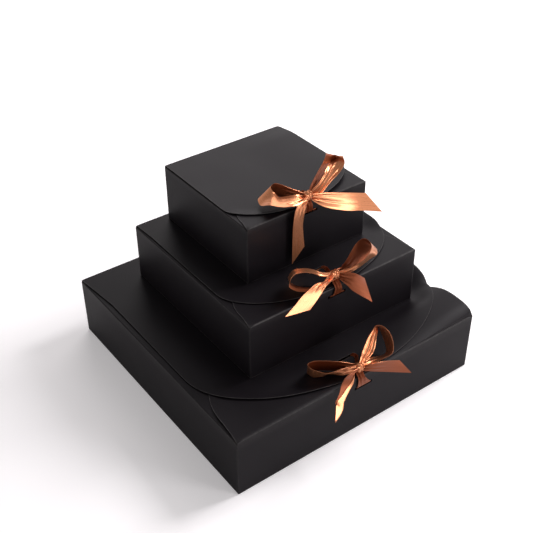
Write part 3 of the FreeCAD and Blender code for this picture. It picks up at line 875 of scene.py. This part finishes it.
SMALL_BOW = {
    "left_loop": Run("left", (2.4, 0.0, (0, 3, -9)), [
        (-13.0, 10.0, 11.0, (1, 4, -9), 0.8),
        (-21.5, 18.5, 13.5, (0, 4, -9), 1.0),
        (-27.5, 25.0, 14.0, (-2, 4, -8), 1.0),
        (-34.5, 25.5, 12.5, (-5, 4, -7), 1.0),
        (-37.0, 18.5, 10.5, (-9, 1, -8), 1.0),
        (-35.5, 11.5, 12.5, (-14, -10, -3), 1.0),
        (-32.5, 4.0, 12.0, (-9, -15, 0), 1.0),
        (-26.0, 1.0, 11.5, (-7, -13, -1), 0.95),
        (-16.0, -1.0, 10.5, (-6, -10, -3), 0.8),
    ], (-0.4, 0.0, (0, -8, -3))),
    "right_loop": Run("right", (2.2, -0.7, (0, 1, -9)), [
        (10.5, 5.0, 14.5, (10, 3, -9), 0.75),
        (19.0, 8.0, 18.0, (13, 4, -12), 1.0),
        (27.0, 11.0, 22.0, (13, 3, -12), 1.0),
        (34.0, 14.0, 26.5, (12, 3, -12), 1.0),
        (39.5, 16.0, 30.5, (11, 1, -10), 1.0),
        (43.5, 15.5, 32.0, (7, -6, -2), 0.95),
        (45.5, 12.0, 30.0, (-1, -15, 9), 1.0),
        (41.5, 8.0, 27.5, (3, -15, 4), 1.0),
        (33.5, 4.5, 24.0, (8, -11, -5), 0.75),
        (24.5, 1.5, 20.0, (10, -6, -12), 0.62),
        (15.5, -0.5, 14.5, (10, -6, -12), 0.55),
        (8.0, -0.5, 10.0, (4, -8, -6), 0.5),
    ], (-0.5, 0.5, (0, -8, 3))),
    "left_tail": Run("left", (-3.7, -0.7, (0, 0, -1)), [
        (-10.5, -4.5, 5.5, (7, 0, -7), 0.6),
        (-14.5, -5.5, 0.0, (8, 1, -6), 0.85),
        (-17.0, -5.5, -12.5, (8, 2, -6), 1.0),
        (-16.5, -5.0, -30.0, (8, 1, -5), 1.0),
        (-16.5, -5.5, -51.5, (15, 1, 13), 1.18),
    ], None, "front"),
    "right_tail": Run("right", (-3.9, -0.5, (0, 1, -9)), [
        (15.0, -8.0, 2.5, (-3, -2, -9), 0.8),
        (37.0, -12.5, -5.5, (-4, -8, -15), 0.98),
        (55.0, -15.5, -11.0, (-6, -11, -13), 1.0),
        (69.5, -18.0, -16.0, (11, -14, -19), 1.46),
    ], None, "front"),
}
BOWS = {"large": LARGE_BOW, "medium": MEDIUM_BOW, "small": SMALL_BOW}
for size, bow in BOWS.items():
    print(size, "bow:", {piece: len(run.stations) for piece, run in bow.items()}, "stations")

# %% [markdown]
# ## From stations to cloth
# A curve modifier could bend a flat strip along a path, but it can't turn or gather the width
# from place to place.  So the rows of points are worked out here: a smooth curve through the
# stations, small pleats where the width is gathered, and an edge that can be folded over.

# %% A smooth curve through the stations
STEPS = 8                    # rows of points from one station to the next


def between(before, start, end, after, share):
    """A value part of the way from start to end, on a smooth curve through both."""
    square, cube = share ** 2, share ** 3
    return (before * (-cube + 2 * square - share) + start * (3 * cube - 5 * square + 2)
            + end * (-3 * cube + 4 * square + share) + after * (cube - square)) * 0.5


def smooth(values):
    """Values with more put in between, along a smooth curve through all of them."""
    last = len(values) - 1
    result = []
    for i in range(last):
        before, after = values[max(i - 1, 0)], values[min(i + 2, last)]
        result += [between(before, values[i], values[i + 1], after, k / STEPS)
                   for k in range(STEPS)]
    return result + [values[last]]

# %% Pleats and folded edges
PLEATS = 3.0                 # pleats across the ribbon where it is gathered
FINE_PLEATS = 0.45, 5.3, 0.3     # smaller ones on top: their share, count and shift
FOLD_BEND = 0.45             # how far from a fold the cloth starts to bend


def pleats(v, phase):
    """How far the gathered cloth stands up or down at a place across it, v from 0 to 1."""
    share, count, shift = FINE_PLEATS
    return (math.sin(2 * math.pi * (PLEATS * v + phase))
            + share * math.sin(2 * math.pi * (count * v + shift)))


def fold_over(v, folded):
    """Where a point across the ribbon lies once part of the width is folded over to the front.

    v runs from 0 to 1 across the cloth.  Gives the place across what is seen, the height in
    millimetres above the cloth behind, and the turn of the surface from 0 to pi.
    """
    seen = 1.0 - folded
    past = (v - seen) * RIBBON_WIDTH
    if past <= -FOLD_BEND:
        return v / seen, 0.0, 0.0
    turn = min(math.pi, math.pi / 2 * (past + FOLD_BEND) / FOLD_BEND)
    radius = 2 * FOLD_BEND / math.pi
    beyond = max(0.0, past - FOLD_BEND)
    place = seen * RIBBON_WIDTH - FOLD_BEND + radius * math.sin(turn) - beyond
    return place / RIBBON_WIDTH / seen, radius * (1 - math.cos(turn)), turn

# %% Faces and finish of a ribbon
ACROSS = 24                  # faces across a ribbon


def strip_faces(last, count):
    """Faces of a closed strip: two sheets of points, joined along their edges and ends."""
    stride = ACROSS + 1
    faces = []
    for i in range(last):
        here, ahead = i * stride, (i + 1) * stride
        for k in range(ACROSS):
            a, b, c, d = here + k, here + k + 1, ahead + k + 1, ahead + k
            faces.append((a, b, c, d))
            faces.append((d + count, c + count, b + count, a + count))
        for a, d in ((here, ahead), (ahead + ACROSS, here + ACROSS)):
            faces.append((a, d, d + count, a + count))
    for k in range(ACROSS):
        faces.append((k + 1, k, k + count, k + 1 + count))
        a = last * stride + k
        faces.append((a, a + 1, a + 1 + count, a + count))
    return faces


def finish_satin(name, vertices, faces, face_and_shade_values, cloth_place, body, node, smooth_angle):
    """A ribbon mesh with its shiny face and shade-darkened back marked and its threads laid out.

    cloth_place(index) gives the place of a point on the unfolded cloth, in millimetres.
    """
    piece = finish_mesh(name, vertices, faces, None, satin, body, [node],
                        smooth_angle=smooth_angle)
    layer = piece.data.attributes.new("satin_face_and_shade", "FLOAT", "POINT")
    layer.data.foreach_set("value", face_and_shade_values)
    cloth = piece.data.uv_layers.new(name="cloth")
    for loop in piece.data.loops:
        across, along = cloth_place(loop.vertex_index)
        cloth.data[loop.index].uv = (across * MM, along * MM)
    return piece

# %% A ribbon through its stations
CLOTH = 0.3                  # ribbon thickness
TO_THE_FRONT = Vector((0.0, -1.0, 1.0))


def ribbon_mesh(box, piece, middles, widths, body, rests_on, pleat_depth=0.9, phase=0.0,
                leave=None, arrive=None, shiny="front", folded=None):
    """A closed cloth strip along the middles, with a width vector at each."""
    rows, spans = smooth(middles), smooth(widths)
    shares = smooth(folded) if folded else [-1.0] * len(rows)
    last = len(rows) - 1
    centre = sum(rows, Vector()) / len(rows)
    is_loop = shiny in ("outside", "inside")
    upper, lower, lengths, outwards = [], [], [0.0], 0.0
    for i in range(1, len(rows)):
        lengths.append(lengths[-1] + (rows[i] - rows[i - 1]).length)
    for i, (middle, width) in enumerate(zip(rows, spans)):
        along = rows[min(i + 1, last)] - rows[max(i - 1, 0)]
        if i == 0 and leave is not None:
            along = leave
        if i == last and arrive is not None:
            along = arrive
        normal = along.cross(width).normalized()
        outwards += normal.dot(middle - centre if is_loop else TO_THE_FRONT)
        lost = max(0.0, 1.0 - width.length / RIBBON_WIDTH) if shares[i] < 0.02 else 0.0
        depth = pleat_depth * min(1.0, lost / (1.0 - GATHERED)) ** 0.8
        across = width.normalized()
        for k in range(ACROSS + 1):
            v = k / ACROSS
            lift = depth * pleats(v, phase) * min(1.0, 6 * v, 6 * (1 - v))
            place, height, turn = fold_over(v, shares[i]) if shares[i] > 0.0 else (v, 0.0, 0.0)
            front = 1.0 if normal.y < 0.0 else -1.0
            point = middle + width * (place - 0.5) + normal * (lift + front * height)
            face = normal * math.cos(turn) - across * (front * math.sin(turn))
            upper.append(point + face * (CLOTH / 2))
            lower.append(point - face * (CLOTH / 2))
    stride, count = ACROSS + 1, len(upper)
    up_is_shiny = (outwards > 0.0) == (shiny in ("outside", "front"))

    def cloth_place(index):
        row, k = divmod(index % count, stride)
        return k / ACROSS * RIBBON_WIDTH, lengths[row]

    made = finish_satin("%s_%s_satin" % (box.name, piece), upper + lower,
                        strip_faces(last, count),
                        [float(up_is_shiny)] * count + [float(not up_is_shiny)] * count,
                        cloth_place, box.node(body), box.node(piece), 60.0)
    box.node(rests_on)
    print(made.name, round(lengths[-1]), "mm long")
    return made

# %% Loops and tails
def spread(vector, share):
    """A width vector along a direction, for a share of the ribbon's full width."""
    return Vector(vector).normalized() * (RIBBON_WIDTH * share)


def ribbon_run(box, piece, run, phase):
    """A loop or a tail, from the knot's end and, for a loop, back to it."""
    outward = Vector((-1.0 if run.side == "left" else 1.0, 0.0, 0.0))
    face = box.knot + outward * (KNOT_LENGTH / 2 - INSIDE_KNOT)
    middles = [face + Vector((0.0, *run.start[:2]))]
    widths = [spread(run.start[2], GATHERED)]
    for x, y, z, vector, share in run.stations:
        middles.append(box.edge + Vector((x, y, z)))
        widths.append(spread(vector, share))
    if run.end:
        middles.append(face + Vector((0.0, *run.end[:2])))
        widths.append(spread(run.end[2], GATHERED))
    ribbon_mesh(box, piece, middles, widths, "ribbon", "bow_knot", phase=phase, leave=outward,
                arrive=-outward if run.end else None, shiny=run.shiny, folded=run.folded)


for box in BOXES:
    for number, (piece, run) in enumerate(BOWS[box.name].items()):
        ribbon_run(box, piece, run, 0.21 * number)

# %% [markdown]
# ## Knots and straps
# The knot is the same ribbon wrapped once round the gathered strands, so it is a barrel with
# folds running round it.  The strap comes out of the lid's slot, passes under the knot and goes
# down to the slot in the front wall, and inside the box it runs back up to the flap's slot.

# %% The knots
KNOT_RADIUS, KNOT_END_DROP = 4.35, 1.5     # the barrel's middle, and how far its ends drop
KNOT_WRAP = 28.0             # length of the ribbon once round the knot
KNOT_LEAN = 0.9              # how far the wrap leans to one side
COARSE_FOLDS, FINE_FOLDS = (0.7, 2.4), (0.3, 5.2)      # their depth, and how many there are
FOLD_SLANT = 0.55


def knot(box):
    """A barrel with two sets of folds that slant across each other."""
    around, across = 48, 18
    (deep, few), (shallow, many) = COARSE_FOLDS, FINE_FOLDS
    vertices = []
    for i in range(around):
        angle = 2 * math.pi * i / around
        crossing = FOLD_SLANT * math.sin(angle + 0.6)
        for k in range(across + 1):
            v = k / across
            x = (v - 0.5) * KNOT_LENGTH * (0.94 + 0.06 * math.cos(angle))
            barrel = KNOT_RADIUS - KNOT_END_DROP * abs(2 * v - 1) ** 3
            fold = (deep * math.sin(2 * math.pi * (few * v + crossing))
                    + shallow * math.sin(2 * math.pi * (many * v - crossing)))
            radius = barrel + fold
            vertices.append(box.knot + Vector((x + KNOT_LEAN * math.sin(angle),
                                               radius * math.cos(angle),
                                               radius * math.sin(angle))))
    stride = across + 1
    faces = []
    for i in range(around):
        here, ahead = i * stride, (i + 1) % around * stride
        faces += [(here + k, here + k + 1, ahead + k + 1, ahead + k) for k in range(across)]
    faces.append(tuple(i * stride for i in range(around)))
    faces.append(tuple(reversed([i * stride + across for i in range(around)])))

    def cloth_place(index):
        row, k = divmod(index, stride)
        return k / across * RIBBON_WIDTH, row / around * KNOT_WRAP

    return finish_satin(box.name + "_knot_satin", vertices, faces, [1.0] * len(vertices),
                        cloth_place, box.node("ribbon"), box.node("bow_knot"), 70.0)

# %% The straps and the runs inside
def wall_slot_top(box):
    """Just inside the upper edge of the front wall's slot, where the taut strap goes in."""
    return Vector((box.middle, box.front, box.top - box.wall_slot_drop - 0.6))


def slots_y(box):
    """How far back the middle of the lid's slot is, and of the flap's slot beneath it."""
    return box.front + box.lid_slot_back + SLOT_HEIGHT / 2


STRAP_WIDTH_AT_WALL = {"large": 0.96, "medium": 0.7, "small": 0.55}
PINCHED = 0.26               # share of the ribbon's width that is left in the lid's slot
UNDER_KNOT = 4.8             # how far below the knot's middle the strap passes


def strap(box):
    """From the lid's slot, close over the lid, under the knot and down into the wall's slot."""
    centre, slot_y = box.knot, slots_y(box)
    end, wide = wall_slot_top(box), STRAP_WIDTH_AT_WALL[box.name]

    def on_lid(x, y, height):
        """A point above the risen lid, counted from its upper face."""
        return Vector((x, y, box.top + LID_RISES[box.name](x, y) + height))

    over_lid = Vector((centre.x + 1.5, centre.y + 5.0,
                       (box.top + centre.z - UNDER_KNOT) / 2 + 0.6))
    down_wall = Vector(((centre.x + box.middle) / 2, box.front - 1.6,
                        (box.top + end.z) / 2 - 1.0))
    run = [
        (on_lid(box.middle + 7.6, slot_y, -BOARD), PINCHED),
        (on_lid(box.middle + 7.8, slot_y - 0.8, 0.35), PINCHED),
        (on_lid(box.middle + 8.6, slot_y - 6.0, 0.4), PINCHED),
        (over_lid, PINCHED),
        (Vector((centre.x, centre.y, centre.z - UNDER_KNOT)), GATHERED),
        (Vector((centre.x, box.front - 1.8, box.top - 0.5)), GATHERED),
        (down_wall, (GATHERED + wide) / 2),
        (end + Vector((0.0, -0.5, 0.0)), wide),
    ]
    middles = [point for point, share in run]
    widths = [spread((1.0, 0.0, 0.0), share) for point, share in run]
    # The strap shows its dull back: its darker tone is a painted shade where it runs under the
    # bow.
    return ribbon_mesh(box, "strap", middles, widths, "ribbon", "lid", pleat_depth=0.85,
                       phase=0.1, arrive=Vector((0.0, 0.0, -1.0)), shiny="back")


def inner_run(box):
    """Inside the box, from the wall's slot back up to the slot in the flap."""
    clear = 0.45
    start, slot_y = wall_slot_top(box), slots_y(box)
    middles = [
        start,
        start + Vector((0.0, BOARD + clear, -0.4)),
        Vector((box.middle, (box.front + slot_y) / 2, start.z - 1.0)),
        Vector((box.middle, slot_y, box.dust_bottom - box.wall_slot_drop / 2)),
        Vector((box.middle, slot_y, box.flap_bottom + BOARD)),
    ]
    widths = [Vector((RIBBON_WIDTH, 0.0, 0.0))] * len(middles)
    return ribbon_mesh(box, "inner_run", middles, widths, "tray", "front_wall")


for box in BOXES:
    print(box.name, "knot, strap and inner run:",
          [len(make(box).data.vertices) for make in (knot, strap, inner_run)], "points")

# %% [markdown]
# ## The table, the light and the camera
# The set stands on a white table.  A key lamp high on the right gives the lids their sheen and
# throws a soft shadow to the left.  A small softbox low in front lights the walls and the satin,
# and a large one high behind on the right fills the lids.  The table also glows, but only for
# the camera and a little in reflections, and less near the boxes, so that their shadow shows.

# %% The table
TABLE_WHITE = (0.93, 0.922, 0.926, 1.0)
TABLE_GLOW = (1.0, 0.985, 0.99, 1.0)
TABLE_HALF = 4.0             # metres from its middle to a side
GLOW_NEAR, GLOW_FAR = 0.23, 0.66
MIRRORED_SHARE = 0.15        # how much of the glow a reflection shows


def white_table():
    """A pale table with its glow."""
    material, tree, shader = principled("white table")
    rays = add(tree, "ShaderNodeLightPath", {}).outputs
    place = add(tree, "ShaderNodeTexCoord", {}).outputs["Object"]
    away = add(tree, "ShaderNodeVectorMath", {0: place}, operation="LENGTH")
    far = map_range(tree, away.outputs["Value"], GLOW_NEAR, GLOW_FAR, start=0.5, end=1.8)
    mirrored = math_node(tree, "MULTIPLY", rays["Is Glossy Ray"], MIRRORED_SHARE)
    seen = math_node(tree, "MAXIMUM", rays["Is Camera Ray"], mirrored)
    set_inputs(tree, shader, {
        "Base Color": TABLE_WHITE, "Roughness": 0.9, "Specular IOR Level": 0.1,
        "Emission Color": TABLE_GLOW, "Emission Strength": math_node(tree, "MULTIPLY", seen, far)})
    mesh = bpy.data.meshes.new("table")
    mesh.from_pydata([(x * TABLE_HALF, y * TABLE_HALF, 0.0)
                      for x, y in ((-1, -1), (1, -1), (1, 1), (-1, 1))], [], [(0, 1, 2, 3)])
    mesh.materials.append(material)
    new_object("table", mesh)


white_table()
print("the table is", 2 * TABLE_HALF, "m across")

# %% The lamps
WARM_WHITE = (1.0, 0.955, 0.965)
PALE_ROSE = (1.0, 0.965, 0.985)


def area_lamp(name, place, aim, size, power, colour):
    """A rectangular lamp that points at a place."""
    light = bpy.data.lights.new(name, "AREA")
    light.shape = "RECTANGLE"
    light.size, light.size_y = size
    light.energy = power
    light.color = colour
    lamp = new_object(name, light)
    lamp.location = place
    direction = Vector(aim) - Vector(place)
    lamp.rotation_euler = direction.to_track_quat("-Z", "Y").to_euler()
    print(name, round(direction.length, 2), "m away,", power, "W")


area_lamp("key lamp", (1.23, -0.19, 1.24), (0.0, 0.0, 0.08), (0.6, 0.6), 24.5, PALE_ROSE)
area_lamp("front softbox", (0.72, -1.32, 0.55), (0.0, 0.0, 0.12), (0.5, 0.55), 7.0, PALE_ROSE)
area_lamp("back softbox", (0.95, 1.31, 1.20), (0.0, 0.0, 0.15), (1.3, 1.3), 13.0, WARM_WHITE)

# %% [markdown]
# ## The room
# Around the set is a pale room.  It is dim as a source of light, but its lower part is bright in
# reflections, which gives satin and board their pale edges, and it is white where the camera
# looks past the table.

# %% The room
ROOM_LIGHT, ROOM_MIRRORED, ROOM_SEEN = 0.36, 1.0, 1.04


def pale_room():
    """A world whose brightness depends on what looks at it, and how low."""
    world = bpy.data.worlds.new("pale room")
    bpy.context.scene.world = world
    world.use_nodes = True
    tree = world.node_tree
    room = tree.nodes["Background"]
    direction = add(tree, "ShaderNodeTexCoord", {}).outputs["Generated"]
    height = add(tree, "ShaderNodeSeparateXYZ", {0: direction}).outputs["Z"]
    low = map_range(tree, height, ROOM_MIRRORED, ROOM_LIGHT, start=0.10, end=0.50)
    rays = add(tree, "ShaderNodeLightPath", {}).outputs
    strength = mix(tree, rays["Is Glossy Ray"], ROOM_LIGHT, low)
    white = math_node(tree, "MULTIPLY", rays["Is Camera Ray"], ROOM_SEEN)
    set_inputs(tree, room, {"Color": (*WARM_WHITE, 1.0),
                            "Strength": math_node(tree, "MAXIMUM", strength, white)})
    print(world.name, "has", len(tree.nodes), "nodes")


pale_room()

# %% [markdown]
# ## The camera
# The camera looks down on the set from its front left corner.  It is rolled by half a degree.

# %% The camera
CAMERA_AZIMUTH, CAMERA_ELEVATION, CAMERA_ROLL = -36.0, 36.23, -0.5     # degrees
CAMERA_DISTANCE = 0.9637
CAMERA_TARGET = Vector((-0.0040, 0.0035, 0.1101))
SENSOR_WIDTH, FOCAL_LENGTH = 36.0, 62.25       # millimetres


def set_camera():
    azimuth, elevation = math.radians(CAMERA_AZIMUTH), math.radians(CAMERA_ELEVATION)
    away = Vector((math.sin(azimuth) * math.cos(elevation),
                   -math.cos(azimuth) * math.cos(elevation), math.sin(elevation)))
    lens = bpy.data.cameras.new("camera")
    lens.sensor_width, lens.lens = SENSOR_WIDTH, FOCAL_LENGTH
    camera = new_object("camera", lens)
    camera.location = CAMERA_TARGET + away * CAMERA_DISTANCE
    look = (-away).to_track_quat("-Z", "Y").to_matrix()
    roll = Matrix.Rotation(math.radians(CAMERA_ROLL), 3, "Z")
    camera.rotation_euler = (look @ roll).to_euler()
    bpy.context.scene.camera = camera
    print("camera at", [round(value, 3) for value in camera.location])


set_camera()
bpy.context.scene.view_settings.view_transform = "Standard"
